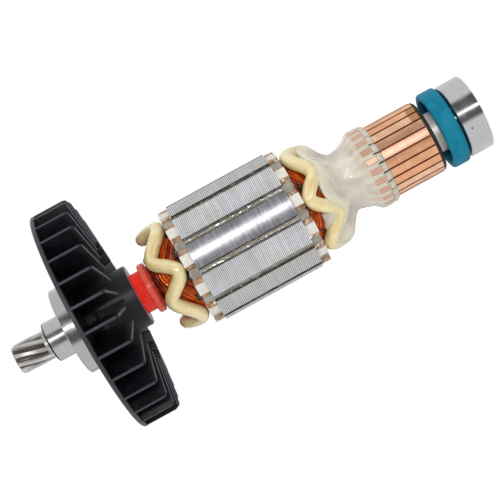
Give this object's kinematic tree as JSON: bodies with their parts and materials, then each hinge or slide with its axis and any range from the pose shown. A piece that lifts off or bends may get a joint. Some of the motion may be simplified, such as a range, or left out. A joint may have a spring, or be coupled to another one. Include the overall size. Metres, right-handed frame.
{
  "type": "motor armature",
  "caption": "Wound armature of a universal motor: slotted core, commutator, cooling fan, ball bearing at each end and a helical pinion on the shaft.",
  "frame": {"origin": "on the shaft's axis, in the plane of the rear bearing's end face, on which the part stands", "axes": "+Z along the shaft from the rear bearing to the pinion; -Y is the side that faces the viewer"},
  "size_m": [0.0668, 0.0668, 0.1467],
  "materials": {
    "ground_steel": "ground",
    "bearing_steel": "ground",
    "ball_steel": "polished",
    "sheet_steel": "satin",
    "teal_plastic": "matte",
    "black_resin": "matte",
    "bare_copper": "turned",
    "enamelled_copper": "varnished",
    "milky_resin": "glossy",
    "cream_resin": "glossy",
    "white_board": "matte",
    "lamination_steel": "turned, with fine lines round it",
    "brown_paper": "varnished",
    "grey_film": "varnished",
    "red_plastic": "satin",
    "black_plastic": "satin",
    "bush_metal": "satin"
  },
  "bodies": {
    "rotor": {"shaft": "ground_steel", "rear_bearing_inner_ring": "bearing_steel", "dust_ring": "teal_plastic", "commutator_bush": "ground_steel", "commutator_moulding": "black_resin", "commutator_bars": "bare_copper", "coil_leads": "enamelled_copper", "lead_resin": "milky_resin", "armature_winding": "enamelled_copper", "rear_binding_bead": "cream_resin", "front_binding_bead": "cream_resin", "rear_end_insulator": "white_board", "front_end_insulator": "white_board", "core_laminations": "lamination_steel", "slot_liners": "brown_paper", "slot_wedges": "grey_film", "shaft_insulator": "red_plastic", "fan": "black_plastic", "fan_bush": "bush_metal", "front_bearing_inner_ring": "bearing_steel", "bearing_collar": "ground_steel"},
    "rear_outer": {"rear_bearing_outer_ring": "bearing_steel", "rear_bearing_shields": "sheet_steel"},
    "rear_ball_set": {"rear_bearing_balls": "ball_steel", "rear_bearing_cage": "sheet_steel"},
    "front_outer": {"front_bearing_outer_ring": "bearing_steel", "front_bearing_shields": "sheet_steel"},
    "front_ball_set": {"front_bearing_balls": "ball_steel", "front_bearing_cage": "sheet_steel"}
  },
  "joints": [
    {"name": "rear_bearing_turn", "type": "hinge", "parent": "rotor", "child": "rear_outer", "pos_m": [0, 0, 0.0035], "axis": [0, 0, 1], "continuous": true},
    {"name": "rear_balls_turn", "type": "hinge", "parent": "rotor", "child": "rear_ball_set", "pos_m": [0, 0, 0.0035], "axis": [0, 0, 1], "continuous": true},
    {"name": "front_bearing_turn", "type": "hinge", "parent": "rotor", "child": "front_outer", "pos_m": [0, 0, 0.12587], "axis": [0, 0, 1], "continuous": true},
    {"name": "front_balls_turn", "type": "hinge", "parent": "rotor", "child": "front_ball_set", "pos_m": [0, 0, 0.12587], "axis": [0, 0, 1], "continuous": true}
  ],
  "couplings": [
    {"joint": "rear_balls_turn", "follows": "rear_bearing_turn", "ratio": 0.6323},
    {"joint": "front_balls_turn", "follows": "front_bearing_turn", "ratio": 0.6323}
  ]
}
